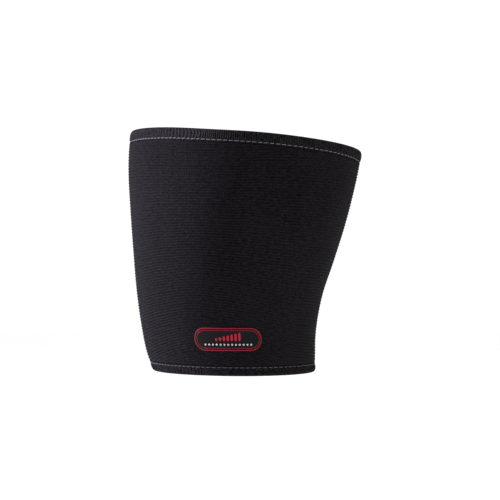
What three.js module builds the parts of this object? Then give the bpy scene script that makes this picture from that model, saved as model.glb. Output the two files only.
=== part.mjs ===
// A thigh compression sleeve: one tapered tube of foam-backed stretch cloth, pulled on over the
// foot, with a folded binding sewn over each rim and a thin pressed-on patch low on the front.
// Millimetres. +Z runs up the thigh, -Y is the front, +X the inner side of a right leg.
// The origin is on the thigh's axis, halfway up the sleeve, where a thigh is measured for size.

import * as THREE from "three";
import { LoftGeometry } from "three/addons/geometries/LoftGeometry.js";

// Driving dimensions
const TOP_HEIGHT = 105.2; // top rim on the axis
const BOTTOM_HEIGHT = -105.2; // bottom rim on the axis
const TOP_SLOPE = -0.099; // rise of the top rim for each millimetre towards +X
const BOTTOM_SLOPE = 0.004; // the same for the bottom rim
const LEAN = -0.15; // how far the inner side stands forward, for each millimetre towards +X
const WALL = 3; // thickness of the foam-backed cloth
const TAPE = 0.9; // thickness of the binding tape
const GAP = 0.3; // between the tape or the patch and the cloth
const TOP_BINDING = 10.7; // width of the top binding on the outer face
const BOTTOM_BINDING = 9; // width of the bottom binding on the outer face
const PATCH = { length: 60, height: 21, thickness: 0.6, x: -4.4, z: -72.6 };

// How finely the walls are divided
const STATIONS = 60; // round the thigh
const BODY_ROWS = 9; // up the cloth between the bindings
const PATCH_STATIONS = 14; // along the patch
const PATCH_TIP = 0.08; // half height left at the patch's two tips, as a share

// The outer face of the cloth: one row for each section of the thigh, as an ellipse about a centre.
// ridge is how far the long muscle left of the front's middle swells out of that ellipse, and dip
// is how far the cloth is drawn down over it.
const SECTIONS = [
  { height: -108, centreX: -0.3, centreY: 2.7, halfWidth: 73.1, halfDepth: 71, ridge: 0, dip: 0 },
  { height: -90, centreX: -3.6, centreY: 1.5, halfWidth: 77, halfDepth: 74.5, ridge: 0, dip: 0 },
  { height: -70, centreX: -5.6, centreY: 0, halfWidth: 79.5, halfDepth: 77.5, ridge: 0.2, dip: 0 },
  { height: -35, centreX: -5.4, centreY: -2, halfWidth: 84.9, halfDepth: 83.5, ridge: 1, dip: 0 },
  { height: 0, centreX: -1.6, centreY: -3, halfWidth: 91.9, halfDepth: 89.5, ridge: 1.8, dip: 0.1 },
  { height: 35, centreX: 2.1, centreY: -2, halfWidth: 98.5, halfDepth: 95, ridge: 2.2, dip: 0.4 },
  { height: 70, centreX: 5.2, centreY: 1, halfWidth: 103.9, halfDepth: 99, ridge: 2, dip: 0.7 },
  { height: 91, centreX: 7.5, centreY: 2.6, halfWidth: 105.8, halfDepth: 99.8, ridge: 1.5, dip: 0.8 },
  { height: 108, centreX: 9.7, centreY: 4, halfWidth: 105.9, halfDepth: 100, ridge: 1, dip: 0.8 },
];
const COLUMNS = ["centreX", "centreY", "halfWidth", "halfDepth", "ridge", "dip"];
const RIDGE_ANGLE = -0.27; // where the ridge stands, from the front
const RIDGE_SPREAD = 0.22; // how wide it is, as an angle

// A binding over its rim, from the crest to its sewn edge. share is of the binding's width, half
// is from the middle of the wall to the tape's face, and inset is how far the sewing draws the wall in.
const RIM = [
  { share: 0, half: 0, inset: 0 },
  { share: 0.06, half: 1.4, inset: 0 },
  { share: 0.25, half: 2.05, inset: 0.1 },
  { share: 0.6, half: 2.1, inset: 0.2 },
  { share: 0.87, half: 1.75, inset: 0.45 },
  { share: 1, half: 1.85, inset: 0.3 },
];
const FREE_SHARE = 1.3; // where the cloth is back at its full thickness

const spline = new THREE.CubicInterpolant(
  SECTIONS.map((row) => row.height),
  SECTIONS.flatMap((row) => COLUMNS.map((name) => row[name])),
  COLUMNS.length,
);

// The section at a height, from a smooth curve through the table's rows.
function sectionAt(height) {
  const values = spline.evaluate(height);
  return Object.fromEntries(COLUMNS.map((name, i) => [name, values[i]]));
}

// The slope across the thigh, which changes evenly from the bottom rim to the top rim.
function slopeAt(height) {
  return THREE.MathUtils.mapLinear(height, BOTTOM_HEIGHT, TOP_HEIGHT, BOTTOM_SLOPE, TOP_SLOPE);
}

// A point of the cloth's outer face. The angle is 0 at the front and a quarter turn at +X.
function facePoint(angle, height) {
  const section = sectionAt(height);
  const bell = Math.exp((Math.cos(angle - RIDGE_ANGLE) - 1) / RIDGE_SPREAD ** 2);
  const swell = section.ridge * bell;
  const across = (section.halfWidth + swell) * Math.sin(angle);
  const x = section.centreX + across;
  const y = section.centreY - (section.halfDepth + swell) * Math.cos(angle) + LEAN * across;
  return new THREE.Vector3(x, y, height + slopeAt(height) * x - section.dip * bell);
}

// The outward normal of that face, from short steps along and up it.
function faceNormal(angle, height) {
  const turn = 0.001;
  const rise = 0.05;
  const along = facePoint(angle + turn, height).sub(facePoint(angle - turn, height));
  const up = facePoint(angle, height + rise).sub(facePoint(angle, height - rise));
  return along.cross(up).normalize();
}

// A point a stated distance out from the outer face.
function raisedPoint(angle, height, out) {
  return facePoint(angle, height).addScaledVector(faceNormal(angle, height), out);
}

// A closed ring: the same wall profile, of { out, height } points, at every station round the thigh.
function ringGeometry(profile) {
  const sections = [];
  for (let i = 0; i <= STATIONS; i++) {
    const angle = ((i % STATIONS) / STATIONS) * 2 * Math.PI;
    sections.push(profile.map((p) => raisedPoint(angle, p.height, p.out)));
  }
  return new LoftGeometry(sections);
}

// The half profile of a rim, from its crest to its sewn edge, at a depth below the tape's face:
// each point is moved in along the outline's own normal. Drop is measured from the rim, and past
// the crest the outline goes on as its own mirror image.
function rimOutline(width, depth) {
  const outline = RIM.map((row) => ({ ...row, drop: row.share * width }));
  return outline.map((point, i) => {
    const after = outline[i + 1] ?? point;
    const before = outline[i - 1] ?? { drop: after.drop, half: -after.half };
    const run = new THREE.Vector2(after.drop - before.drop, after.half - before.half).setLength(depth);
    return { drop: point.drop + run.y, half: point.half - run.x, inset: point.inset };
  });
}

// One rim's half profile placed on the sleeve: side 1 is the outer face and -1 the inner face.
function placed(outline, rimHeight, upwards, side) {
  return outline.map(({ drop, half, inset }) => ({
    height: rimHeight - upwards * drop,
    out: -WALL / 2 - inset + side * half,
  }));
}

// The folded tape: over the rim along its face, then back along its underside.
function bindingProfile(rimHeight, upwards, width) {
  const face = rimOutline(width, 0);
  const under = rimOutline(width, TAPE);
  const fold = (outline) => [
    ...placed(outline, rimHeight, upwards, -1).reverse(),
    ...placed(outline.slice(1), rimHeight, upwards, 1),
  ];
  const loop = [...fold(face), ...fold(under).reverse()];
  return upwards > 0 ? loop : loop.reverse();
}

// The cloth wall: up its inner face from rim to rim, and down its outer face. Inside the bindings
// it is squeezed to leave the gap, and between them it has its full thickness.
function clothProfile() {
  const rim = (rimHeight, upwards, width, side) => {
    const squeezed = rimOutline(width, TAPE + GAP);
    const free = { drop: FREE_SHARE * width, half: WALL / 2, inset: 0 };
    return placed([...squeezed, free], rimHeight, upwards, side);
  };
  const side = (sign) => {
    const bottom = rim(BOTTOM_HEIGHT, -1, BOTTOM_BINDING, sign);
    const top = rim(TOP_HEIGHT, 1, TOP_BINDING, sign);
    const low = bottom.at(-1).height;
    const high = top.at(-1).height;
    const body = Array.from({ length: BODY_ROWS }, (_, i) => ({
      height: THREE.MathUtils.lerp(low, high, (i + 1) / (BODY_ROWS + 1)),
      out: ((sign - 1) * WALL) / 2,
    }));
    return [...bottom, ...body, ...top.reverse()];
  };
  return [...side(-1), ...side(1).slice(1, -1).reverse()];
}

// The patch: an upright slice for each station along its length, as tall as a pill is there,
// laid level on the front of the cloth with its back face the gap away.
function patchGeometry() {
  const radius = PATCH.height / 2;
  const straight = PATCH.length / 2 - radius;
  const section = sectionAt(PATCH.z);
  const place = (along, up, out) => {
    const angle = (PATCH.x - section.centreX + along) / section.halfWidth;
    const x = section.centreX + section.halfWidth * Math.sin(angle);
    return raisedPoint(angle, PATCH.z + up - slopeAt(PATCH.z) * x, out);
  };
  const slices = [];
  for (let i = 0; i <= PATCH_STATIONS; i++) {
    const along = -Math.cos((i / PATCH_STATIONS) * Math.PI) * (PATCH.length / 2);
    const past = Math.max(Math.abs(along) - straight, 0) / radius;
    const half = radius * Math.max(Math.sqrt(Math.max(1 - past * past, 0)), PATCH_TIP);
    const steps = [-1, -0.5, 0, 0.5, 1];
    const back = steps.map((step) => place(along, step * half, GAP));
    const face = steps.map((step) => place(along, step * half, GAP + PATCH.thickness));
    slices.push([...back, ...face.reverse()]);
  }
  return new LoftGeometry(slices, { capStart: true, capEnd: true });
}

// Finishes
const cloth = new THREE.MeshStandardMaterial({ color: 0x26242a, roughness: 0.85, metalness: 0 });
const tape = new THREE.MeshStandardMaterial({ color: 0x2a282c, roughness: 0.8, metalness: 0 });
const film = new THREE.MeshStandardMaterial({ color: 0x17161a, roughness: 0.5, metalness: 0 });

function piece(name, geometry, material) {
  const mesh = new THREE.Mesh(geometry, material);
  mesh.name = name;
  return mesh;
}

const sleeve = new THREE.Group();
sleeve.add(
  piece("sleeve_panel", ringGeometry(clothProfile()), cloth),
  piece("top_binding", ringGeometry(bindingProfile(TOP_HEIGHT, 1, TOP_BINDING)), tape),
  piece("bottom_binding", ringGeometry(bindingProfile(BOTTOM_HEIGHT, -1, BOTTOM_BINDING)), tape),
  piece("front_patch", patchGeometry(), film),
);

export default sleeve;
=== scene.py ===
"""A thigh compression sleeve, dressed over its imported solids.

A tapered tube of ribbed, foam-backed stretch cloth has a folded ribbed tape over each rim, a light
sewn line along both tapes, a zigzag seam up the back and a pressed-on patch low on the front.
Metres. +Z runs up the thigh and -Y is the front. Angles start at the front and grow towards +X.
"""

import math

import bpy
import numpy as np
from bpy.props import FloatProperty, FloatVectorProperty, IntProperty, PointerProperty
from bpy.types import Operator, Panel, PropertyGroup
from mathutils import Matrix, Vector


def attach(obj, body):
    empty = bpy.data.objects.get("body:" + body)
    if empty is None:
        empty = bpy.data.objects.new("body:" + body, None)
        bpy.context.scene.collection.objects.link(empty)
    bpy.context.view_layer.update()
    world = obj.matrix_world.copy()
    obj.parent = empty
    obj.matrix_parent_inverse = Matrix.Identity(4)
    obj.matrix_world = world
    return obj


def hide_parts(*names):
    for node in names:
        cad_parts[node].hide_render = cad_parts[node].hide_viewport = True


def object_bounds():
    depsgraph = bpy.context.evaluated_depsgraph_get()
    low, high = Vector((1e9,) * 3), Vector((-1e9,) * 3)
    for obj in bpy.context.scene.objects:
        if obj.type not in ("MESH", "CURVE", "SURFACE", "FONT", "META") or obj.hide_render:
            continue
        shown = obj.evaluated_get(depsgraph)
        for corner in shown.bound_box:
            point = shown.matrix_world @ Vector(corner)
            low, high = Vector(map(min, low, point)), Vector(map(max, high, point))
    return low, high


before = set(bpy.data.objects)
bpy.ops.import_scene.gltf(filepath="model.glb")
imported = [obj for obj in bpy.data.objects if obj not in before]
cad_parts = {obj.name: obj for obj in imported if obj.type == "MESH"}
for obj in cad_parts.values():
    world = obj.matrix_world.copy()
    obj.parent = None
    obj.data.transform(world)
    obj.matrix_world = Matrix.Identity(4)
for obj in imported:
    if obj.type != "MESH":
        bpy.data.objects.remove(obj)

bl_info = {
    "name": "Thigh Compression Sleeve",
    "version": (1, 0, 0),
    "blender": (4, 5, 0),
    "location": "View3D > Sidebar > Sleeve",
    "description": "Builds a bound and stitched thigh sleeve of ribbed stretch cloth",
    "category": "Add Mesh",
}

CAD_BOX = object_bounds()
TURN = 2 * math.pi
MEAN_RADIUS = 0.09  # turns an angle into a distance along the weave
RIM_RADIUS = 0.1  # turns a distance along a rim into an angle

# The cloth's outer face: a row for each section of the thigh, an ellipse about a centre. The ridge is
# how far the long muscle left of the front's middle swells out of that ellipse, and the dip is how far
# the cloth is drawn down over it.
SECTION_COLUMNS = ("height", "centre_x", "centre_y", "half_width", "half_depth", "ridge", "dip")
SECTIONS = np.array([
    (-0.108, -0.0003, 0.0027, 0.0731, 0.0710, 0.0000, 0.0000),
    (-0.090, -0.0036, 0.0015, 0.0770, 0.0745, 0.0000, 0.0000),
    (-0.070, -0.0056, 0.0000, 0.0795, 0.0775, 0.0002, 0.0000),
    (-0.035, -0.0054, -0.0020, 0.0849, 0.0835, 0.0010, 0.0000),
    (0.000, -0.0016, -0.0030, 0.0919, 0.0895, 0.0018, 0.0001),
    (0.035, 0.0021, -0.0020, 0.0985, 0.0950, 0.0022, 0.0004),
    (0.070, 0.0052, 0.0010, 0.1039, 0.0990, 0.0020, 0.0007),
    (0.091, 0.0075, 0.0026, 0.1058, 0.0998, 0.0015, 0.0008),
    (0.108, 0.0097, 0.0040, 0.1059, 0.1000, 0.0010, 0.0008),
])

# The tape over a rim, from the crest to its sewn edge. The share is of the binding's width, half is
# from the middle of the wall to the tape's face, and inset is how far the sewing draws the wall in.
TAPE = np.array([
    (0.00, 0.00000, 0.00000),
    (0.06, 0.00140, 0.00000),
    (0.25, 0.00205, 0.00010),
    (0.60, 0.00210, 0.00020),
    (0.87, 0.00175, 0.00045),
    (1.00, 0.00185, 0.00030),
])
SEWN_SHARE = 0.87  # where the sewn line lies on the tape
FLARE_ANGLE = math.pi / 2  # where the top tape is widest
FLARE_SPREAD = 0.35
PEAK_ANGLE = -1.4  # where the top tape's crest is highest
PEAK_SPREAD = 0.45

# The cloth wall under a tape and just past it, where the foam is squeezed and swells again. Its columns
# are those of the tape.
SQUEEZE = np.array([
    (0.12, 0.00050, 0.00000),
    (0.30, 0.00100, 0.00012),
    (0.60, 0.00110, 0.00020),
    (0.87, 0.00078, 0.00045),
    (1.00, 0.00088, 0.00030),
    (1.03, 0.00140, 0.00010),
    (1.07, 0.00151, 0.00002),
    (1.40, 0.00153, 0.00000),
    (2.00, 0.00150, 0.00000),
])


def length_property(name, description, default):
    """A size in metres that a user may change."""
    return FloatProperty(
        name=name, description=description, default=default, min=0.0, precision=5, unit="LENGTH"
    )


def number_property(name, description, default):
    """A plain number that a user may change."""
    return FloatProperty(name=name, description=description, default=default, precision=4)


def colour_property(name, description, default):
    """A linear colour that a user may change."""
    return FloatVectorProperty(
        name=name, description=description, default=default, min=0.0, max=1.0, subtype="COLOR"
    )


class SLEEVE_PG_form(PropertyGroup):
    """The worn form of the sleeve"""

    top_height: number_property("Top rim", "Height of the top rim on the thigh's axis", 0.1052)
    bottom_height: number_property("Bottom rim", "Height of the bottom rim on the axis", -0.1052)
    top_slope: number_property("Top slope", "Rise of the top rim across the thigh", -0.099)
    bottom_slope: number_property("Bottom slope", "Rise of the bottom rim across the thigh", 0.004)
    lean: number_property("Lean", "How far the inner side stands forward", -0.15)
    ridge_angle: number_property("Ridge angle", "Where the muscle's ridge stands", -0.27)
    ridge_spread: number_property("Ridge spread", "How wide the ridge is, as an angle", 0.22)
    wall: length_property("Wall", "Thickness of the foam-backed cloth", 0.003)
    top_binding: length_property("Top binding", "Width of the top tape on a face", 0.0107)
    bottom_binding: length_property("Bottom binding", "Width of the bottom tape on a face", 0.0090)
    top_flare: number_property("Top flare", "How much wider the top tape is at its inner side", 0.18)
    top_peak: length_property("Top peak", "How far the top tape's crest rises at its outer side", 0.0010)


class SLEEVE_PG_cloth(PropertyGroup):
    """The ribbed cloth"""

    rib_pitch: length_property("Rib pitch", "From one rib round the thigh to the next", 0.0027)
    rib_height: length_property("Rib height", "From a groove to a rib's crest", 0.00050)
    bottom_arch: number_property("Bottom arch", "How far the lowest ribs are drawn up over the ridge", 0.023)
    top_arch: number_property("Top arch", "How far the highest ribs are drawn up over the ridge", -0.010)
    arch_spread: number_property("Arch spread", "How wide the arch is, as an angle", 0.6)
    top_slant: number_property("Top slant", "How far the highest ribs rise across the thigh", 0.0053)
    loop_pitch: length_property("Loop pitch", "From one knitted loop to the next", 0.0019)
    columns: IntProperty(name="Columns", description="Divisions round the thigh", default=170, min=24)
    tone: number_property("Tone", "How far its colour lies from the groove's to the crest's", 0.39)
    # The groove colour is painted shade between the ribs.
    shaded_groove_colour: colour_property("Groove", "Colour between the ribs", (0.0017, 0.0015, 0.0015))
    crest_colour: colour_property("Crest", "Colour on the ribs", (0.0091, 0.0080, 0.0087))
    flat_top: length_property("Cut, top", "Girth of the cut at the top, before it is stretched", 0.585)
    flat_bottom: length_property("Cut, bottom", "Girth of the cut at the bottom", 0.408)


class SLEEVE_PG_tape(PropertyGroup):
    """The binding tape"""

    thickness: length_property("Thickness", "Thickness of the tape", 0.0009)
    rib_pitch: length_property("Rib pitch", "From one rib across the tape to the next", 0.0022)
    rib_height: length_property("Rib height", "How far a rib stands out", 0.00032)
    yarn_pitch: length_property("Yarn pitch", "From one yarn along the tape to the next", 0.0006)
    bow: length_property("Bow", "How far the sewing bows the ribs along the rim", 0.0036)
    spread: number_property("Spread", "How much further apart the ribs are where it is pulled", 0.65)
    crowd: number_property("Crowd", "How much closer the ribs are in the middle of the front", 0.12)
    # The crests' lightness is wear; the bottom tape's lower value is painted shade, for the less light at
    # the bottom rim.
    top_wear_and_light: number_property("Top wear", "How worn the top tape's crests are, by pulling it on", 1.0)
    bottom_wear_and_shade: number_property("Bottom wear", "How worn the bottom tape's crests are", 0.35)
    # The groove colour is painted shade between the ribs; the crests are worn lighter, and painted lighter
    # as a highlight where the tape is drawn.
    shaded_groove_colour: colour_property("Groove", "Colour between the ribs", (0.0017, 0.0015, 0.0017))
    crest_colour: colour_property("Crest", "Colour on the ribs", (0.0230, 0.0202, 0.0221))


class SLEEVE_PG_thread(PropertyGroup):
    """The sewing threads"""

    stitch_period: length_property("Stitch period", "From one stitch to the next", 0.005)
    stitch_length: length_property("Stitch length", "Length of thread that shows", 0.0045)
    stitch_radius: length_property("Stitch radius", "Radius of the light thread", 0.00032)
    seam_radius: length_property("Seam radius", "Radius of the black thread", 0.00032)
    seam_width: length_property("Seam width", "Width of the zigzag up the back", 0.0046)
    seam_step: length_property("Seam step", "Rise of one leg of the zigzag", 0.0016)
    twist: length_property("Twist", "Length of one turn of the thread's plies", 0.0012)
    top_colour: colour_property("Top line", "Colour of the top sewn line", (0.110, 0.105, 0.108))
    # The bottom line is darker than the top line as painted shade, for the less light at the bottom rim.
    bottom_shaded_colour: colour_property("Bottom line", "Colour of the bottom sewn line", (0.060, 0.057, 0.059))
    seam_colour: colour_property("Back seam", "Colour of the back seam", (0.0200, 0.0182, 0.0200))


class SLEEVE_PG_patch(PropertyGroup):
    """The pressed-on patch"""

    x: number_property("Place across", "Where its middle is, across the thigh", -0.0044)
    z: number_property("Place up", "Where its middle is, up the thigh", -0.0726)
    length: length_property("Length", "Its length round the thigh", 0.060)
    height: length_property("Height", "Its height", 0.021)
    thickness: length_property("Thickness", "Thickness of the film", 0.00045)
    line_width: length_property("Line width", "Width of the red border", 0.0005)
    line_inset: length_property("Line inset", "From the film's edge to the border's middle", 0.0011)
    inner_width: length_property("Inner width", "Width of the inner line of the border", 0.0003)
    inner_inset: length_property("Inner inset", "From the film's edge to the inner line", 0.0029)
    relief: length_property("Relief", "How far the print stands out", 0.00014)
    film_colour: colour_property("Film", "Colour of the film", (0.0021, 0.0019, 0.0020))
    red_colour: colour_property("Red", "Colour of the border and the bars", (0.240, 0.0105, 0.016))
    grey_colour: colour_property("Grey", "Colour of the dots", (0.31, 0.30, 0.30))


class SLEEVE_PG_stage(PropertyGroup):
    """The floor, the lights and the camera"""

    floor_gap: length_property("Floor gap", "From the sleeve's lowest point to the floor", 0.28)
    floor_size: length_property("Floor size", "Side of the floor", 14.0)
    floor_colour: colour_property("Floor", "Colour of the floor", (0.95, 0.95, 0.95))
    key_power: number_property("Key", "Power of the light on the left, in watts", 165.0)
    fill_power: number_property("Fill", "Power of the light on the right, in watts", 19.0)
    world_strength: number_property("Surround", "Strength of the light from all round", 1.05)
    camera_x: number_property("Camera across", "Where the camera stands, across", 0.0144)
    camera_distance: length_property("Camera distance", "From the thigh's axis to the camera", 1.1)
    camera_z: number_property("Camera height", "How high the camera stands", -0.021)
    camera_pitch: FloatProperty(
        name="Camera pitch", description="How far it looks up", default=math.radians(1.38), subtype="ANGLE"
    )
    lens: number_property("Lens", "Focal length in millimetres on a 36 mm sensor", 86.1)


# Shapes shared by the pieces

GIRTH_STEPS = 1440  # short steps in which a girth is measured
RIPPLE_TURNS = (2, 5, 9, 14, 23)  # waves round the thigh
RIPPLE_RISE = 40.0  # greatest slant of a wave, in radians for each metre
RIPPLE_SUM = 2.2  # brings the sum of the waves to about 1
RIB_SHARPNESS = 1.3  # narrows a rib's crest


def cubic(keys, values, query):
    """Table columns at the queried keys. Each piece between two rows is a cubic whose slope at a row is
    the mean of the two chords that meet there, and at an end the slope of the end chord."""
    chord = np.diff(values, axis=0) / np.diff(keys)[:, None]
    slope = np.concatenate([chord[:1], (chord[1:] + chord[:-1]) / 2, chord[-1:]])
    query = np.clip(query, keys[0], keys[-1])
    i = np.clip(np.searchsorted(keys, query) - 1, 0, len(keys) - 2)
    span = (keys[i + 1] - keys[i])[..., None]
    t = (query - keys[i])[..., None] / span
    start = (1 + 2 * t) * values[i] + t * span * slope[i]
    end = (3 - 2 * t) * values[i + 1] + (t - 1) * span * slope[i + 1]
    return np.moveaxis((1 - t) ** 2 * start + t ** 2 * end, -1, 0)


def section_at(height):
    """The section's named measures at the given heights."""
    return dict(zip(SECTION_COLUMNS[1:], cubic(SECTIONS[:, 0], SECTIONS[:, 1:], height)))


def slope_at(form, height):
    """The slope across the thigh, which changes evenly from the bottom rim to the top rim."""
    share = (height - form.bottom_height) / (form.top_height - form.bottom_height)
    return form.bottom_slope + share * (form.top_slope - form.bottom_slope)


def bell(angle, middle, spread):
    """A bell curve round the thigh, 1 at its middle."""
    return np.exp((np.cos(angle - middle) - 1) / spread ** 2)


def face_point(form, angle, height):
    """The cloth's outer face: at each height an ellipse, swollen and drawn down round the ridge by a bell
    curve, sheared forward towards +X by the lean, and lifted by the slope times x."""
    angle, height = np.broadcast_arrays(angle, height)
    section = section_at(height)
    near_ridge = bell(angle, form.ridge_angle, form.ridge_spread)
    swell = section["ridge"] * near_ridge
    across = (section["half_width"] + swell) * np.sin(angle)
    x = section["centre_x"] + across
    y = section["centre_y"] - (section["half_depth"] + swell) * np.cos(angle) + form.lean * across
    z = height + slope_at(form, height) * x - section["dip"] * near_ridge
    return np.stack([x, y, z], axis=-1)


def face_normal(form, angle, height):
    """The outward normal of that face: the step round the thigh crossed with the step up it."""
    turn = 0.001
    rise = 0.00005
    along = face_point(form, angle + turn, height) - face_point(form, angle - turn, height)
    up = face_point(form, angle, height + rise) - face_point(form, angle, height - rise)
    normal = np.cross(along, up)
    return normal / np.linalg.norm(normal, axis=-1, keepdims=True)


def raised(form, angle, height, out):
    """The point of the face moved out along its normal."""
    angle, height, out = np.broadcast_arrays(angle, height, out)
    return face_point(form, angle, height) + face_normal(form, angle, height) * out[..., None]


def flare(form, upwards, angle):
    """How much wider a binding is round the thigh, as a factor: a bell curve at the top one's inner side."""
    share = form.top_flare if upwards > 0 else 0.0
    return 1 + share * bell(angle, FLARE_ANGLE, FLARE_SPREAD)


def peak(form, upwards, angle):
    """How far a binding's crest stands above its rim: a bell curve at the top one's outer side."""
    rise = form.top_peak if upwards > 0 else 0.0
    return rise * bell(angle, PEAK_ANGLE, PEAK_SPREAD)


def girth_at(form, height):
    """The angles round one height and the length of the face up to each of them."""
    angle = np.linspace(0, TURN, GIRTH_STEPS + 1)
    step = np.linalg.norm(np.diff(face_point(form, angle, height), axis=0), axis=-1)
    return angle, np.concatenate([[0], np.cumsum(step)])


def even_angles(form, height, count):
    """Count angles that divide the face's girth at a height into equal lengths."""
    angle, length = girth_at(form, height)
    return np.interp(np.arange(count) / count * length[-1], length, angle)


def ripple(angle, along, seed):
    """A smooth unevenness between about -1 and 1: five sine waves with whole numbers of turns round the
    thigh and drawn phases."""
    draw = np.random.default_rng(seed)
    total = np.zeros(np.broadcast(angle, along).shape)
    for turns in RIPPLE_TURNS:
        rise = draw.uniform(-RIPPLE_RISE, RIPPLE_RISE)
        phase = draw.uniform(0, TURN)
        total = total + np.sin(turns * angle + rise * along + phase) / RIPPLE_SUM
    return total


def rib_profile(phase):
    """A rib's height as a share, over one pitch: a rounded crest at 0 and a flat groove at a half."""
    return (0.5 + 0.5 * np.cos(TURN * phase)) ** RIB_SHARPNESS


# Meshes


def surface(name, points, uv, wrap_rows=False, wrap_columns=False, caps=False, crown=None):
    """One object from grids of points, shaped (grids, rows, columns, 3). Four neighbours make a face, a
    wrapped direction joins its last line to its first, and caps close the first and last row. uv has one
    line more in a wrapped direction, and crown is how high a point is on its rib; it sets how light the
    colour is, darker in the grooves as painted shade, and on the tapes also worn and painted lighter."""
    grids, rows, columns = points.shape[:3]
    index = np.arange(grids * rows * columns).reshape(grids, rows, columns)
    row, column = np.meshgrid(
        np.arange(rows - 1 + wrap_rows), np.arange(columns - 1 + wrap_columns), indexing="ij"
    )
    corners = [(row, column), (row, column + 1), (row + 1, column + 1), (row + 1, column)]
    loops = np.stack([index[:, r % rows, c % columns] for r, c in corners], axis=-1).ravel()
    corner_uv = np.stack([uv[r, c] for r, c in corners], axis=-2).reshape(-1, 2)
    loop_uv = np.tile(corner_uv, (grids, 1))
    starts = np.arange(0, len(loops), 4)
    if caps:
        ends = np.stack([index[:, 0, ::-1], index[:, -1, :]], axis=1).ravel()
        end_uv = np.tile(np.concatenate([uv[0, :columns][::-1], uv[-1, :columns]]), (grids, 1))
        starts = np.concatenate([starts, len(loops) + np.arange(0, len(ends), columns)])
        loops = np.concatenate([loops, ends])
        loop_uv = np.concatenate([loop_uv, end_uv])
    mesh = bpy.data.meshes.new(name)
    mesh.vertices.add(index.size)
    mesh.vertices.foreach_set("co", points.astype(np.float32).ravel())
    mesh.loops.add(len(loops))
    mesh.loops.foreach_set("vertex_index", loops.astype(np.int32))
    mesh.polygons.add(len(starts))
    mesh.polygons.foreach_set("loop_start", starts.astype(np.int32))
    mesh.polygons.foreach_set("use_smooth", np.ones(len(starts), dtype=bool))
    mesh.uv_layers.new(name="weave").data.foreach_set("uv", loop_uv.astype(np.float32).ravel())
    height = mesh.attributes.new("crown", "FLOAT", "POINT")
    crown = np.full(index.size, 0.5) if crown is None else crown
    height.data.foreach_set("value", crown.astype(np.float32).ravel())
    mesh.update(calc_edges=True)
    mesh.validate()
    obj = bpy.data.objects.new(name, mesh)
    bpy.context.collection.objects.link(obj)
    return obj


def tubes(name, centres, normals, lift, spread, sides):
    """Many short closed tubes in one object. Along each row of centres, shaped (tubes, rings, 3), a ring
    is an ellipse, lift high along the normal and spread wide along the cross of path and normal."""
    path = np.gradient(centres, axis=1)
    path = path / np.linalg.norm(path, axis=-1, keepdims=True)
    across = np.cross(path, normals)
    across = across / np.linalg.norm(across, axis=-1, keepdims=True)
    upright = np.cross(across, path)
    turn = math.pi + np.arange(sides) / sides * TURN
    high = (upright * lift[..., None])[:, :, None, :] * np.cos(turn)[:, None]
    wide = (across * spread[..., None])[:, :, None, :] * np.sin(turn)[:, None]
    step = np.linalg.norm(np.diff(centres[0], axis=0), axis=-1)
    along = np.concatenate([[0], np.cumsum(step)])
    uv = np.stack(np.meshgrid(along, np.arange(sides + 1) / sides, indexing="ij"), axis=-1)
    return surface(name, centres[:, :, None, :] + high + wide, uv, wrap_columns=True, caps=True)


def dress(obj, material, nodes=()):
    """Gives a piece its material and its slot, sets it on the one body, and hides the imported parts it
    replaces.
    """
    obj.data.materials.append(material)
    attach(obj, "root")
    if nodes:
        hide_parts(*nodes)


# Shaders

STREAKS_ALONG = 260.0  # lighter streaks to a metre along the cloth
STREAKS_UP = 1.2  # lighter streaks to a rib
LOOP_SHIFT = 3.0  # how far the streaks shift the loops, in loops


class Value:
    """One shader value. Arithmetic on it adds a Math node to its shader."""

    def __init__(self, shader, socket):
        self.shader = shader
        self.socket = socket

    def math(self, operation, *terms):
        """The outcome of one Math node."""
        return self.shader.node("ShaderNodeMath", {"operation": operation}, dict(enumerate(terms)))[0]

    def __add__(self, other):
        return self.math("ADD", self, other)

    def __sub__(self, other):
        return self.math("SUBTRACT", self, other)

    def __mul__(self, other):
        return self.math("MULTIPLY", self, other)

    def __truediv__(self, other):
        return self.math("DIVIDE", self, other)

    def wave(self):
        """The sine of this many turns, from 0 to 1."""
        return self.math("SINE", self * TURN) * 0.5 + 0.5

    def swing(self, amount):
        """An even noise brought to about zero, times an amount."""
        return (self - 0.5) * amount

    def clamped(self):
        """This value kept between 0 and 1."""
        return self.math("MINIMUM", self.math("MAXIMUM", self, 0.0), 1.0)

    __radd__ = __add__


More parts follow.
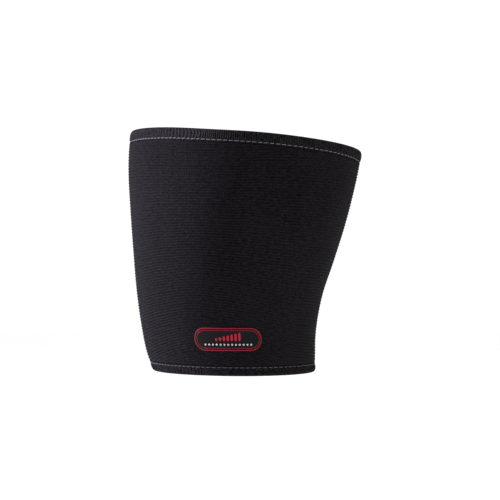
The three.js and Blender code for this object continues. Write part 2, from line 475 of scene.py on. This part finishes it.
class Shader:
    """A material's node tree, with the coordinates that its patterns follow."""

    # Sockets of a Mix node that mixes colours, and outputs of the coordinate and attribute nodes
    COLOUR_FACTOR, COLOUR_A, COLOUR_B, COLOUR_RESULT = 0, 6, 7, 2
    OBJECT_PLACE, ATTRIBUTE_NUMBER = 3, 2

    def __init__(self, name):
        self.material = bpy.data.materials.new(name)
        self.material.use_nodes = True
        self.tree = self.material.node_tree
        self.tree.nodes.clear()

    def node(self, kind, settings, inputs):
        """Adds a node, makes its settings, then sets or links its sockets. Gives its outputs in order."""
        node = self.tree.nodes.new(kind)
        for name, setting in settings.items():
            setattr(node, name, setting)
        for name, value in inputs.items():
            if isinstance(value, Value):
                self.tree.links.new(value.socket, node.inputs[name])
            else:
                node.inputs[name].default_value = value
        return [Value(self, output) for output in node.outputs]

    def place(self):
        """The point on the object, in its own metres."""
        return self.node("ShaderNodeTexCoord", {}, {})[self.OBJECT_PLACE]

    def weave(self):
        """The distances along and up the cloth, in metres."""
        vector = self.node("ShaderNodeUVMap", {"uv_map": "weave"}, {})[0]
        return self.node("ShaderNodeSeparateXYZ", {}, {0: vector})[:2]

    def crown(self):
        """How high the surface is on its rib, which darkens the grooves as painted shade and lightens the
        crests, on the tapes by wear and a painted highlight.
        """
        return self.node("ShaderNodeAttribute", {"attribute_name": "crown"}, {})[self.ATTRIBUTE_NUMBER]

    def noise(self, vector, scale, detail):
        """Even noise about one half."""
        return self.node("ShaderNodeTexNoise", {}, {"Vector": vector, "Scale": scale, "Detail": detail})[0]

    def vector(self, x, y):
        """A flat vector from two values."""
        return self.node("ShaderNodeCombineXYZ", {}, {0: x, 1: y})[0]

    def mix(self, factor, low, high):
        """A colour between two, by a factor."""
        inputs = {self.COLOUR_FACTOR: factor, self.COLOUR_A: low, self.COLOUR_B: high}
        return self.node("ShaderNodeMix", {"data_type": "RGBA"}, inputs)[self.COLOUR_RESULT]

    def bump(self, height, strength, distance):
        """A normal from a height."""
        inputs = {"Strength": strength, "Distance": distance, "Height": height}
        return self.node("ShaderNodeBump", {}, inputs)[0]

    def finish(self, inputs):
        """Ends the tree in one Principled shader, and gives the material."""
        shader = self.node("ShaderNodeBsdfPrincipled", {}, inputs)[0]
        self.node("ShaderNodeOutputMaterial", {}, {"Surface": shader})
        return self.material


def opaque(colour, share=1.0):
    """A colour property, brought down to a share of its brightness, as a socket's four numbers."""
    return (*(part * share for part in colour), 1.0)


def cloth_material(cloth):
    """Matt black knit: painted shade darkens it between the ribs, and it is broken along them, with fine
    loops, fuzz and a dry sheen.
    """
    shader = Shader("sleeve_cloth")
    along, up = shader.weave()
    fuzz = shader.noise(shader.place(), scale=900.0, detail=3.0)
    mottle = shader.noise(shader.place(), scale=30.0, detail=3.0)
    streaks = shader.vector(along * STREAKS_ALONG, up * STREAKS_UP / cloth.rib_pitch)
    streak = shader.noise(streaks, scale=1.0, detail=2.0)
    loop = (along / cloth.loop_pitch + streak * LOOP_SHIFT).wave()
    crown = shader.crown()
    # The crown pulls the colour towards the groove colour between the ribs: painted shade.
    light = crown * 0.12 + streak.swing(1.3) + fuzz.swing(1.4) + mottle.swing(0.3) + cloth.tone
    relief = crown * 0.55 + loop * 0.3 + streak * 1.1 + fuzz * 0.8
    colour = shader.mix(light.clamped(), opaque(cloth.shaded_groove_colour), opaque(cloth.crest_colour))
    return shader.finish({
        "Base Color": colour,
        "Roughness": 0.72 + fuzz * 0.22,
        "Specular IOR Level": 0.015,
        "Sheen Weight": 0.006,
        "Sheen Roughness": 0.45,
        "Sheen Tint": (0.82, 0.78, 0.90, 1.0),
        "Normal": shader.bump(relief, strength=1.0, distance=0.0006),
    })


def tape_material(tape):
    """Black woven tape: ribs across it that are worn lighter on their crests and darker between them as
    painted shade, and fine yarns along it.
    """
    shader = Shader("binding_tape")
    fuzz = shader.noise(shader.place(), scale=1300.0, detail=3.0)
    mottle = shader.noise(shader.place(), scale=600.0, detail=3.0)
    across = shader.weave()[1]
    yarn = (across / tape.yarn_pitch).wave()
    # The crown sets painted shade in the grooves and lighter crests, partly wear and partly painted
    # highlight.
    light = shader.crown() * 0.7 + fuzz.swing(0.6) + mottle.swing(1.6) + yarn * 0.1
    colour = shader.mix(light.clamped(), opaque(tape.shaded_groove_colour), opaque(tape.crest_colour))
    return shader.finish({
        "Base Color": colour,
        "Roughness": 0.68 + fuzz * 0.2,
        "Specular IOR Level": 0.015,
        "Sheen Weight": 0.006,
        "Sheen Roughness": 0.4,
        "Sheen Tint": (0.85, 0.80, 0.88, 1.0),
        "Normal": shader.bump(yarn * 0.5 + fuzz * 0.7, strength=0.4, distance=0.0002),
    })


def thread_material(name, thread, colour):
    """Twisted thread: plies that slant round it, painted lighter on top of each and darker between them as
    painted shade, with a little fuzz.
    """
    shader = Shader(name)
    along, turn = shader.weave()
    ply = (along / thread.twist + turn).wave()
    fuzz = shader.noise(shader.place(), scale=2500.0, detail=2.0)
    # The plies' tops are painted lighter and the dips between them darker: painted light and shade.
    light = ply * 0.8 + fuzz * 0.4
    return shader.finish({
        "Base Color": shader.mix(light.clamped(), opaque(colour, share=0.62), opaque(colour)),
        "Roughness": 0.55 + fuzz * 0.3,
        "Specular IOR Level": 0.05,
        "Sheen Weight": 0.01,
        "Normal": shader.bump(ply + fuzz * 0.3, strength=0.5, distance=0.00015),
    })


def print_material(name, colour, roughness):
    """Pressed-on film or ink: satin, with a faint orange-peel surface and a little uneven ink."""
    shader = Shader(name)
    peel = shader.noise(shader.place(), scale=900.0, detail=2.0)
    cover = shader.noise(shader.place(), scale=240.0, detail=3.0)
    return shader.finish({
        "Base Color": shader.mix(cover, opaque(colour, share=0.8), opaque(colour)),
        "Roughness": roughness + peel * 0.15,
        "Specular IOR Level": 0.06,
        "Normal": shader.bump(peel, strength=0.2, distance=0.0001),
    })


def floor_material(stage):
    """Plain pale paper."""
    shader = Shader("pale_floor")
    grain = shader.noise(shader.place(), scale=3.0, detail=2.0)
    colour = shader.mix(grain, opaque(stage.floor_colour, share=0.985), opaque(stage.floor_colour))
    return shader.finish({"Base Color": colour, "Roughness": 0.9, "Specular IOR Level": 0.1})


# The cloth tube

RIB_ROWS = 5  # rows to each rib
LEVEL_REACH = 1.5  # rows are tried up to this many times the rims' height, because ribs slope
INNER_ROWS = 28  # rows down the inner face
TAPE_COVER = 0.95  # share of a binding that hides the cloth
EDGE_DROP = 0.0016  # from a rim to the cloth's edge inside the tape
RIB_FADE = 0.3  # past a binding, the share of its width in which the ribs rise
RIB_SUNK = 0.25  # share of a rib's height that lies below the plain face
RIB_UNEVEN = 0.25  # how much the ribs' height varies
RIB_WANDER = 0.00022  # how far the ribs stray up and down
UNEVEN_SEED, WANDER_SEED = 3, 5
CROWN_LIMIT = 1.3  # the most that unevenness multiplies a crown by
SEAM_WINDOW = 0.045  # half angle at the back with extra columns
SEAM_COLUMNS = 15
SEAM_GROOVE = 0.0005  # depth of the closing seam
SEAM_SPREAD = 0.0007  # half width of its groove
SEAM_PRESS = 0.7  # how flat it presses the ribs beside it
SEAM_REACH = 0.0030  # how far it presses them
PRESSED_CROWN = 0.5  # what counts as the crown where no rib shows


def rim_share(form, angle, height):
    """How far a height is from the nearer rim, as a share of that rim's binding."""
    top = (form.top_height - height) / (form.top_binding * flare(form, 1, angle))
    bottom = (height - form.bottom_height) / form.bottom_binding
    return np.minimum(top, bottom)


def rib_lines(form, cloth, angle, level):
    """The heights of a rib round the thigh: its level, drawn up over the ridge by a bell curve and slanted
    across the thigh. Both change evenly from the bottom rim to the top rim."""
    share = (level - form.bottom_height) / (form.top_height - form.bottom_height)
    arch = cloth.bottom_arch + share * (cloth.top_arch - cloth.bottom_arch)
    slant = cloth.top_slant * share * np.sin(angle)
    return level + arch * bell(angle, form.ridge_angle, cloth.arch_spread) + slant


def outer_rows(form, cloth, angle, low, high):
    """The levels of the outer face's rows, a few to each rib, and their heights at the angles. What would
    run past a rim is drawn together evenly under its tape."""
    step = cloth.rib_pitch / RIB_ROWS
    count = math.ceil(LEVEL_REACH * high / step)
    level = np.arange(-count, count + 1)[:, None] * step
    lines = rib_lines(form, cloth, angle, level)
    reached = (lines.max(axis=1) > low) & (lines.min(axis=1) < high)
    level, lines = level[reached], lines[reached]
    high_edge = form.top_height - TAPE_COVER * form.top_binding * flare(form, 1, angle)
    low_edge = form.bottom_height + TAPE_COVER * form.bottom_binding
    above = np.clip((lines - high_edge) / (lines[-1] - high_edge), 0, 1) * (high - high_edge)
    below = np.clip((low_edge - lines) / (low_edge - lines[0]), 0, 1) * (low_edge - low)
    return level, np.clip(lines, low_edge, high_edge) + above - below


def cloth_object(form, cloth):
    """The wall as one closed grid: up the outer face along its ribs, which fade out under the bindings, and
    down the plain inner face. Its half thickness and inset follow SQUEEZE, and a narrow bell at the back is
    the closing seam's groove."""
    low = form.bottom_height + EDGE_DROP
    high = form.top_height - EDGE_DROP
    seam = math.pi + np.linspace(-SEAM_WINDOW, SEAM_WINDOW, SEAM_COLUMNS)
    angle = np.unique(np.concatenate([even_angles(form, 0.0, cloth.columns), seam]))[None, :]
    level, outer = outer_rows(form, cloth, angle, low, high)
    inner = np.linspace(high, low, INNER_ROWS)[:, None]
    height = np.concatenate([outer, np.broadcast_to(inner, (INNER_ROWS, angle.size))])
    side = np.concatenate([np.ones(level.shape), -np.ones(inner.shape)])
    level = np.concatenate([level, inner])
    share = rim_share(form, angle, height)
    half, inset = cubic(SQUEEZE[:, 0], SQUEEZE[:, 1:], share)
    free = np.clip((share - 1.0) / RIB_FADE, 0, 1) * (side > 0)
    uneven = 1 + RIB_UNEVEN * ripple(angle, level, UNEVEN_SEED)
    from_seam = (angle - math.pi) * MEAN_RADIUS
    groove = SEAM_GROOVE * np.exp(-((from_seam / SEAM_SPREAD) ** 2))
    free = free * (1 - SEAM_PRESS * np.exp(-((from_seam / SEAM_REACH) ** 2)))
    crown = rib_profile(level / cloth.rib_pitch)
    lift = (crown - RIB_SUNK) * cloth.rib_height * uneven * free
    out = -form.wall / 2 - inset + side * (half - groove) + lift
    wander = RIB_WANDER * ripple(angle, level, WANDER_SEED) * np.clip(share - 1, 0, 1)
    points = raised(form, angle, height + wander, out)
    u = np.append(angle[0], angle[0, 0] + TURN) * MEAN_RADIUS
    v = np.append(level, level[0])
    uv = np.stack(np.meshgrid(u, v), axis=-1)
    crown = crown * np.clip(uneven, 0, CROWN_LIMIT) * free + PRESSED_CROWN * (1 - free)
    return surface("ribbed_cloth", points[None], uv, wrap_rows=True, wrap_columns=True, crown=crown)


class SLEEVE_OT_cloth(Operator):
    """Make the ribbed cloth tube"""

    bl_idname = "sleeve.cloth"
    bl_label = "Cloth tube"

    def execute(self, context):
        form, cloth = context.scene.sleeve_form, context.scene.sleeve_cloth
        obj = cloth_object(form, cloth)
        dress(obj, cloth_material(cloth), ["sleeve_panel"])
        return {"FINISHED"}


# The bindings

FACE_POINTS = 26  # points over the tape's face
UNDER_POINTS = 10  # points along its underside
RIB_COLUMNS = 5  # columns to each rib
FOLD_SHARE = 0.3  # share of the width that belongs to the fold
FOLD_RIBS = 0.3  # share of the ribs' height that is left on it
TAPE_UNEVEN = 0.3  # how much the ribs' height varies
SEWN_PRESS = 0.8  # how flat the sewn line presses the ribs
SEWN_SPREAD = 0.0011  # half width of what it presses
PUCKER = 0.00018  # how deep the tape dips at a needle hole
HOLE_SPREAD = 0.14  # half width of that, as a share of a stitch's period
BOW_ANGLE = -0.39  # where the sewing draws the tape
BOW_SPREAD = 0.17
BOW_UNEVEN = 0.2  # how much ribs bow elsewhere
BOW_SEED, TAPE_SEED = 11, 12
PULL_ANGLE = -0.60  # where the tape is pulled and its ribs lie further apart
PULL_SPREAD = 0.17
CROWD_ANGLE = 0.02  # where its ribs lie closer
CROWD_SPREAD = 0.25
DRAWN_NARROW = 3  # how much narrower the crests' painted highlight is where the tape is drawn
PLAIN_WEAR = 0.45  # how light the crests are elsewhere
DRAWN_HIGHLIGHT = 1.25  # how much lighter the crests are painted where it is drawn: a painted highlight


def tape_path(width, depth, count):
    """The tape's outline over a rim from its outer edge over the crest to its inner edge, at a depth below
    its face, as drop from the rim, distance from the wall's middle and inset. A smooth curve through TAPE
    and its mirror image, each point moved in along the curve's normal."""
    share, half, inset = TAPE.T
    drop = np.concatenate([share[::-1], share[1:]]) * width
    half = np.concatenate([half[::-1], -half[1:]])
    inset = np.concatenate([inset[::-1], inset[1:]])
    keys = np.concatenate([[0], np.cumsum(np.hypot(np.diff(drop), np.diff(half)))])
    table = np.stack([drop, half, inset], axis=-1)
    drop, half, inset = cubic(keys, table, np.linspace(0, keys[-1], count))
    run_drop, run_half = np.gradient(drop), np.gradient(half)
    length = np.hypot(run_drop, run_half)
    return np.stack([drop - depth * run_half / length, half + depth * run_drop / length, inset])


def drawn(angle):
    """How much the sewing draws the tape, from 0 to 1: a bell curve about one place on the rim."""
    return bell(angle, BOW_ANGLE, BOW_SPREAD)


def rib_angles(form, tape, rim):
    """The angles of the tape's columns, a few to each rib. The ribs are a pitch apart, but further in one
    bell curve round the rim, where the tape is pulled, and closer in another."""
    angle, length = girth_at(form, rim)
    middle = (angle[1:] + angle[:-1]) / 2
    apart = tape.spread * bell(middle, PULL_ANGLE, PULL_SPREAD)
    close = tape.crowd * bell(middle, CROWD_ANGLE, CROWD_SPREAD)
    pitches = np.diff(length) / (1 + apart - close) / tape.rib_pitch
    count = np.concatenate([[0], np.cumsum(pitches)])
    columns = round(count[-1]) * RIB_COLUMNS
    return np.interp(np.arange(columns) / columns * count[-1], count, angle)


def stitch_angles(form, thread, height):
    """The angles of the stitches' middles along one sewn line."""
    length = girth_at(form, height)[1][-1]
    return even_angles(form, height, round(length / thread.stitch_period))


def binding_object(name, form, tape, thread, rim, upwards, width, crest_wear_and_shade):
    """The folded tape as one closed grid: its face from the outer edge to the inner edge, then back along
    its underside. Ribs run across it, bowed along the rim. They are drawn low over the fold and pressed flat
    along the sewn line, where the stitches' ends pucker the tape. The factor after the width sets how light
    their crests are: wear, brought down on the bottom tape as painted shade. Where the tape is drawn the
    crests are painted lighter and narrower, a painted highlight."""
    face = tape_path(width, 0.0, FACE_POINTS)
    under = tape_path(width, tape.thickness, UNDER_POINTS)[:, ::-1]
    drop, half, inset = np.concatenate([face, under], axis=1)[:, :, None]
    showing = np.concatenate([np.ones(FACE_POINTS), np.zeros(UNDER_POINTS)])[:, None]
    angle = rib_angles(form, tape, rim)[None, :]
    phase = np.arange(angle.size)[None, :] / RIB_COLUMNS
    across = np.clip(drop / width, 0, 1)
    arc = 4 * across * (1 - across)
    strength = drawn(angle) + BOW_UNEVEN * ripple(angle, 0.0, BOW_SEED)
    bow = tape.bow / RIM_RADIUS * arc * strength
    fold = np.clip(across / FOLD_SHARE, FOLD_RIBS, 1)
    uneven = (1 + TAPE_UNEVEN * ripple(angle, drop, TAPE_SEED)) * fold
    crown = rib_profile(phase) * showing
    stitches = stitch_angles(form, thread, rim - upwards * SEWN_SHARE * width)
    passed = np.interp(angle, np.append(stitches, TURN), np.arange(len(stitches) + 1))
    from_hole = np.abs(passed % 1.0 - 0.5)
    line = np.exp(-(((drop - SEWN_SHARE * width) / SEWN_SPREAD) ** 2))
    pull = line * np.exp(-((from_hole / HOLE_SPREAD) ** 2))
    lift = crown * tape.rib_height * uneven * (1 - SEWN_PRESS * line) - PUCKER * pull * showing
    out = -form.wall / 2 - inset + half + np.sign(half) * lift
    height = rim - upwards * drop * flare(form, upwards, angle) + peak(form, upwards, angle) * (1 - across)
    points = raised(form, angle + bow, height, out)
    v = np.concatenate([[0], np.cumsum(np.hypot(np.diff(drop[:, 0]), np.diff(half[:, 0])))])
    uv = np.stack(np.meshgrid(np.append(angle[0], TURN) * MEAN_RADIUS, np.append(v, v[-1])), axis=-1)
    if upwards < 0:
        points, crown, uv = points[::-1], crown[::-1], uv[::-1]
    # Crests of the bottom tape are darkened as painted shade, and where the tape is drawn they are painted
    # lighter and narrower as a painted highlight.
    crown = crown ** (1 + DRAWN_NARROW * drawn(angle)) * crest_wear_and_shade * (PLAIN_WEAR + DRAWN_HIGHLIGHT * drawn(angle))
    return surface(name, points[None], uv, wrap_rows=True, wrap_columns=True, crown=crown)


class SLEEVE_OT_bindings(Operator):
    """Make the folded tape over each rim"""

    bl_idname = "sleeve.bindings"
    bl_label = "Bindings"

    def execute(self, context):
        scene = context.scene
        form, cloth = scene.sleeve_form, scene.sleeve_cloth
        tape, thread = scene.sleeve_tape, scene.sleeve_thread
        material = tape_material(tape)
        rims = (
            ("top", form.top_height, 1, form.top_binding, tape.top_wear_and_light, cloth.flat_top),
            ("bottom", form.bottom_height, -1, form.bottom_binding, tape.bottom_wear_and_shade, cloth.flat_bottom),
        )
        for rim_name, rim, upwards, width, crest_wear_and_shade, cut in rims:
            name = f"ribbed_tape_{rim_name}"
            obj = binding_object(name, form, tape, thread, rim, upwards, width, crest_wear_and_shade)
            dress(obj, material, [f"{rim_name}_binding"])
        return {"FINISHED"}


# The sewing

STITCH_RINGS = 7  # rings along a stitch
THREAD_SIDES = 6  # sides of the thread
ARCH_STAND = 0.75  # how far a stitch stands up in its middle
ARCH_DIVE = 2.2  # how far its ends dive
ARCH_THIN = 0.35  # how much thinner its ends are
STITCH_FLAT = 0.85  # how flat a stitch is pressed
LENGTH_RANGE = (0.90, 1.05)  # ranges in which the stitches are uneven
SLANT_RANGE = (0.00003, 0.00020)
DEPTH_RANGE = (-0.00006, 0.00008)
SEWN_SEED = 20
SEAM_START = 1.07  # where the back seam starts, in widths of a binding


def thread_arch(rings):
    """Along a stitch from -1 to 1: how far it stands over the cloth, as a share of the thread's radius, and
    how thick it is. It is level in the middle, and its two ends dive in."""
    t = np.linspace(-1, 1, rings)
    return t, ARCH_STAND - ARCH_DIVE * np.abs(t) ** 5, 1.0 - ARCH_THIN * np.abs(t) ** 4


def sewn_line(name, form, thread, rim, upwards, width, side, seed):
    """A row of stitches along a binding, on its outer face at side 1 or its inner face at side -1: each is
    an arched tube along the rim, a little uneven in length, depth and slant."""
    half, inset = cubic(TAPE[:, 0], TAPE[:, 1:], np.array(SEWN_SHARE))
    base = rim - upwards * SEWN_SHARE * width
    middle = stitch_angles(form, thread, base)[:, None]
    draw = np.random.default_rng(seed)
    t, over, thick = thread_arch(STITCH_RINGS)
    radius = girth_at(form, base)[1][-1] / TURN
    length = thread.stitch_length * draw.uniform(*LENGTH_RANGE, middle.shape)
    slant = draw.uniform(*SLANT_RANGE, middle.shape)
    depth = draw.uniform(*DEPTH_RANGE, middle.shape)
    angle = middle + t * length / 2 / radius
    height = rim - upwards * SEWN_SHARE * width * flare(form, upwards, angle) + slant * t
    out = -form.wall / 2 - inset + side * (half + over * thread.stitch_radius - depth)
    centres = raised(form, angle, height, out)
    normals = side * face_normal(form, angle, height)
    size = np.broadcast_to(thick * thread.stitch_radius, angle.shape)
    return tubes(name, centres, normals, size * STITCH_FLAT, size, THREAD_SIDES)


def zigzag(name, form, thread, side):
    """The back seam on the outer face at side 1 or the inner face at side -1: arched legs that cross from
    one side of the seam to the other as they climb."""
    low = form.bottom_height + SEAM_START * form.bottom_binding
    high = form.top_height - SEAM_START * form.top_binding
    count = round((high - low) / thread.seam_step)
    t, over, thick = thread_arch(STITCH_RINGS)
    leg = np.arange(count)[:, None]
    height = low + (leg + (t + 1) / 2) * (high - low) / count
    radius = section_at(height)["half_width"]
    way = np.where(leg % 2 == 0, 1.0, -1.0)
    angle = math.pi + way * t * thread.seam_width / 2 / radius
    face = 0.0 if side > 0 else -form.wall
    out = face + side * over * thread.seam_radius
    centres = raised(form, angle, height, out)
    normals = side * face_normal(form, angle, height)
    size = np.broadcast_to(thick * thread.seam_radius, angle.shape)
    return tubes(name, centres, normals, size, size, THREAD_SIDES)


class SLEEVE_OT_stitching(Operator):
    """Sew both bindings and the back seam"""

    bl_idname = "sleeve.stitching"
    bl_label = "Stitching"

    def execute(self, context):
        form, thread = context.scene.sleeve_form, context.scene.sleeve_thread
        rims = (
            ("top", form.top_height, 1, form.top_binding, thread.top_colour),
            ("bottom", form.bottom_height, -1, form.bottom_binding, thread.bottom_shaded_colour),
        )
        faces = (("outer", 1), ("inner", -1))
        for seed, (rim_name, rim, upwards, width, colour) in enumerate(rims, SEWN_SEED):
            material = thread_material(f"{rim_name}_thread", thread, colour)
            for face, side in faces:
                name = f"stitches_{rim_name}_{face}"
                obj = sewn_line(name, form, thread, rim, upwards, width, side, seed)
                dress(obj, material)
        material = thread_material("seam_thread", thread, thread.seam_colour)
        for face, side in faces:
            dress(zigzag(f"back_seam_{face}", form, thread, side), material)
        return {"FINISHED"}


# The patch

FILM_BASE = 0.00020  # from the cloth's plain face to the film's back
FILM_STATIONS = 120  # slices along the film
FILM_ROWS = 46  # rows up its face
BACK_ROWS = 6  # rows down its back
FILM_TIP = 0.004  # share of its height that is left at its two tips
TIP_FADE = 0.001  # half height under which it thins towards a tip
EDGE_SHARPNESS = 24  # how close to its edge the film is rounded off
BORDER_STATIONS = 180  # places round a border, a third of them on each end
BORDER_SIDES = 10  # sides of its profile
BORDER_UV = (0.001, 0.0003)  # steps of its weave map
BAR_COUNT = 7
BAR_PITCH = 0.0033
BAR_FOOT = -0.0014  # from the patch's middle up to the bars' feet
BAR_SHORTEST = 0.0024
BAR_STEP = 0.0008  # how much taller the next bar is
BAR_WIDTH = 0.0020
DOT_COUNT = 13
DOT_PITCH = 0.0033
DOT_FOOT = -0.0054
DOT_SIZE = 0.0017
MARK_RINGS = 12  # rings up a bar or a dot
MARK_SIDES = 10
MARK_TIP = 0.05  # share of a mark's width that is left at its tips


def on_patch(form, patch, along, up, out):
    """A point of the patch from its own level distances along and up, and how far it stands out."""
    along, up, out = np.broadcast_arrays(along, up, out)
    section = section_at(np.array(patch.z))
    angle = (patch.x - section["centre_x"] + along) / section["half_width"]
    x = section["centre_x"] + section["half_width"] * np.sin(angle)
    height = patch.z + up - slope_at(form, patch.z) * x
    return raised(form, angle, height, out), face_normal(form, angle, height)


def film_object(form, patch):
    """The pill-shaped film: slices along it, each as tall as the pill is there, closed by a flat back. Its
    edge is rounded off."""
    radius = patch.height / 2
    along = -np.cos(np.linspace(0, math.pi, FILM_STATIONS))[:, None] * patch.length / 2
    past = np.clip(np.abs(along) - (patch.length / 2 - radius), 0, radius) / radius
    tall = radius * np.maximum(np.sqrt(1 - past ** 2), FILM_TIP)
    face = np.sin(np.linspace(-1, 1, FILM_ROWS) * math.pi / 2)
    back = np.linspace(1, -1, BACK_ROWS + 2)[1:-1]
    up = np.concatenate([face, back])[None, :] * tall
    edge = np.sqrt(1 - np.abs(face) ** EDGE_SHARPNESS)
    rise = np.concatenate([edge, np.zeros(len(back))])[None, :]
    out = FILM_BASE + rise * patch.thickness * np.clip(tall / TIP_FADE, 0, 1)
    points = on_patch(form, patch, along, up, out)[0]
    uv = np.stack(np.broadcast_arrays(along, np.append(up, up[:, :1], axis=1)), axis=-1)
    return surface("patch_film", points[None], uv, wrap_columns=True, caps=True)


def border_object(name, form, patch, inset, width):
    """A red line: a low rounded profile carried round a pill that lies inset from the film's edge."""
    radius = patch.height / 2 - inset
    straight = patch.length / 2 - patch.height / 2
    corner = np.linspace(-math.pi / 2, math.pi / 2, BORDER_STATIONS // 3)
    run = np.linspace(-1, 1, BORDER_STATIONS // 6 + 2)[1:-1] * straight
    flat = np.ones(len(run))
    turn = np.concatenate([corner, flat * math.pi / 2, corner + math.pi, flat * math.pi * 1.5])
    middle = np.concatenate([np.full(len(corner), straight), -run, np.full(len(corner), -straight), run])
    profile = np.linspace(0, TURN, BORDER_SIDES, endpoint=False)
    reach = radius + np.cos(profile)[:, None] * width / 2
    along = middle + reach * np.cos(turn)
    up = reach * np.sin(turn)
    top = FILM_BASE + patch.thickness
    out = top + np.sin(profile)[:, None] * patch.relief
    points = on_patch(form, patch, along, up, out)[0]
    uv = np.stack(np.meshgrid(np.arange(len(turn) + 1), np.arange(BORDER_SIDES + 1)), axis=-1) * BORDER_UV
    return surface(name, points[None], uv, wrap_rows=True, wrap_columns=True)


def marks_object(name, form, patch, along, low, high, width):
    """A row of upright marks at the given places along the patch: flat tubes from low to high, whose two
    ends are half circles of the mark's width."""
    turn = np.linspace(-math.pi / 2, math.pi / 2, MARK_RINGS)
    straight = (high - low - width)[:, None] / 2
    up = (low + high)[:, None] / 2 + np.sign(turn) * straight + np.sin(turn) * width / 2
    spread = np.broadcast_to(np.maximum(np.cos(turn), MARK_TIP) * width / 2, up.shape)
    centres, normals = on_patch(form, patch, along[:, None], up, FILM_BASE + patch.thickness)
    return tubes(name, centres, normals, np.full(up.shape, patch.relief), spread, MARK_SIDES)


class SLEEVE_OT_patch(Operator):
    """Press the patch on, with its border, bars and dots"""

    bl_idname = "sleeve.patch"
    bl_label = "Patch"

    def execute(self, context):
        scene = context.scene
        form, patch = scene.sleeve_form, scene.sleeve_patch
        film = print_material("patch_film", patch.film_colour, roughness=0.5)
        red = print_material("patch_red", patch.red_colour, roughness=0.45)
        grey = print_material("patch_grey", patch.grey_colour, roughness=0.5)
        dress(film_object(form, patch), film, ["front_patch"])
        outer = border_object("patch_border", form, patch, patch.line_inset, patch.line_width)
        inner = border_object("patch_inner_line", form, patch, patch.inner_inset, patch.inner_width)
        dress(outer, red)
        dress(inner, red)
        place = np.arange(BAR_COUNT) - (BAR_COUNT - 1) / 2
        low = np.full(BAR_COUNT, BAR_FOOT)
        high = low + BAR_SHORTEST + BAR_STEP * np.arange(BAR_COUNT)
        bars = marks_object("patch_bars", form, patch, place * BAR_PITCH, low, high, BAR_WIDTH)
        place = np.arange(DOT_COUNT) - (DOT_COUNT - 1) / 2
        low = np.full(DOT_COUNT, DOT_FOOT)
        high = low + DOT_SIZE
        dots = marks_object("patch_dots", form, patch, place * DOT_PITCH, low, high, DOT_SIZE)
        dress(bars, red)
        dress(dots, grey)
        return {"FINISHED"}


# The stage

FLOOR_LINES = 9  # lines of the floor's grid each way
KEY_PLACE = (-1.6, 0.20, 0.80)
KEY_SIZE = (0.25, 1.6)
KEY_COLOUR = (0.80, 0.775, 1.0)
FILL_PLACE = (1.6, -0.5, 0.20)
FILL_SIZE = (1.2, 1.6)
FILL_COLOUR = (1.0, 0.97, 1.0)


def softbox(name, place, size, power, colour):
    """A rectangular studio light that looks at the origin."""
    data = bpy.data.lights.new(name, "AREA")
    data.shape = "RECTANGLE"
    data.size, data.size_y = size
    data.energy = power
    data.color = colour
    obj = bpy.data.objects.new(name, data)
    obj.location = place
    obj.rotation_euler = (-obj.location).to_track_quat("-Z", "Y").to_euler()
    bpy.context.collection.objects.link(obj)


class SLEEVE_OT_stage(Operator):
    """Lay the floor, set the lights and stand the camera"""

    bl_idname = "sleeve.stage"
    bl_label = "Stage"

    def execute(self, context):
        scene = context.scene
        stage = scene.sleeve_stage
        reach = np.linspace(-0.5, 0.5, FLOOR_LINES) * stage.floor_size
        level = CAD_BOX[0][2] - stage.floor_gap
        x, y = np.meshgrid(reach, reach)
        points = np.stack([x, y, np.full(x.shape, level)], axis=-1)
        floor = surface("floor", points[None], points[..., :2])
        floor.data.materials.append(floor_material(stage))
        softbox("key", KEY_PLACE, KEY_SIZE, stage.key_power, KEY_COLOUR)
        softbox("fill", FILL_PLACE, FILL_SIZE, stage.fill_power, FILL_COLOUR)
        scene.world = bpy.data.worlds.new("white_surround")
        scene.world.use_nodes = True
        surround = scene.world.node_tree.nodes["Background"]
        surround.inputs["Color"].default_value = (1, 1, 1, 1)
        surround.inputs["Strength"].default_value = stage.world_strength
        data = bpy.data.cameras.new("camera")
        data.lens = stage.lens
        camera = bpy.data.objects.new("camera", data)
        camera.location = (stage.camera_x, -stage.camera_distance, stage.camera_z)
        camera.rotation_euler = (math.pi / 2 + stage.camera_pitch, 0, 0)
        context.collection.objects.link(camera)
        scene.camera = camera
        scene.view_settings.view_transform = "Standard"
        return {"FINISHED"}


class SLEEVE_PT_tools(Panel):
    """Lists the sleeve's pieces in the sidebar"""

    bl_idname = "SLEEVE_PT_tools"
    bl_label = "Thigh sleeve"
    bl_space_type = "VIEW_3D"
    bl_region_type = "UI"
    bl_category = "Sleeve"

    def draw(self, context):
        for operator in OPERATORS:
            self.layout.operator(operator.bl_idname)


GROUPS = {
    "sleeve_form": SLEEVE_PG_form,
    "sleeve_cloth": SLEEVE_PG_cloth,
    "sleeve_tape": SLEEVE_PG_tape,
    "sleeve_thread": SLEEVE_PG_thread,
    "sleeve_patch": SLEEVE_PG_patch,
    "sleeve_stage": SLEEVE_PG_stage,
}
OPERATORS = (SLEEVE_OT_stitching, SLEEVE_OT_patch, SLEEVE_OT_bindings, SLEEVE_OT_cloth, SLEEVE_OT_stage)


def register():
    """Adds the property groups to a scene, then the operators and the panel."""
    for name, group in GROUPS.items():
        bpy.utils.register_class(group)
        setattr(bpy.types.Scene, name, PointerProperty(type=group))
    for cls in (*OPERATORS, SLEEVE_PT_tools):
        bpy.utils.register_class(cls)


def unregister():
    """Takes all of that away again."""
    for cls in (SLEEVE_PT_tools, *reversed(OPERATORS)):
        bpy.utils.unregister_class(cls)
    for name, group in reversed(GROUPS.items()):
        delattr(bpy.types.Scene, name)
        bpy.utils.unregister_class(group)


def main():
    """Makes every piece, with what a sheet carries before the sheet."""
    register()
    bpy.ops.sleeve.stitching()
    bpy.ops.sleeve.patch()
    bpy.ops.sleeve.bindings()
    bpy.ops.sleeve.cloth()
    bpy.ops.sleeve.stage()


if __name__ == "__main__":
    main()
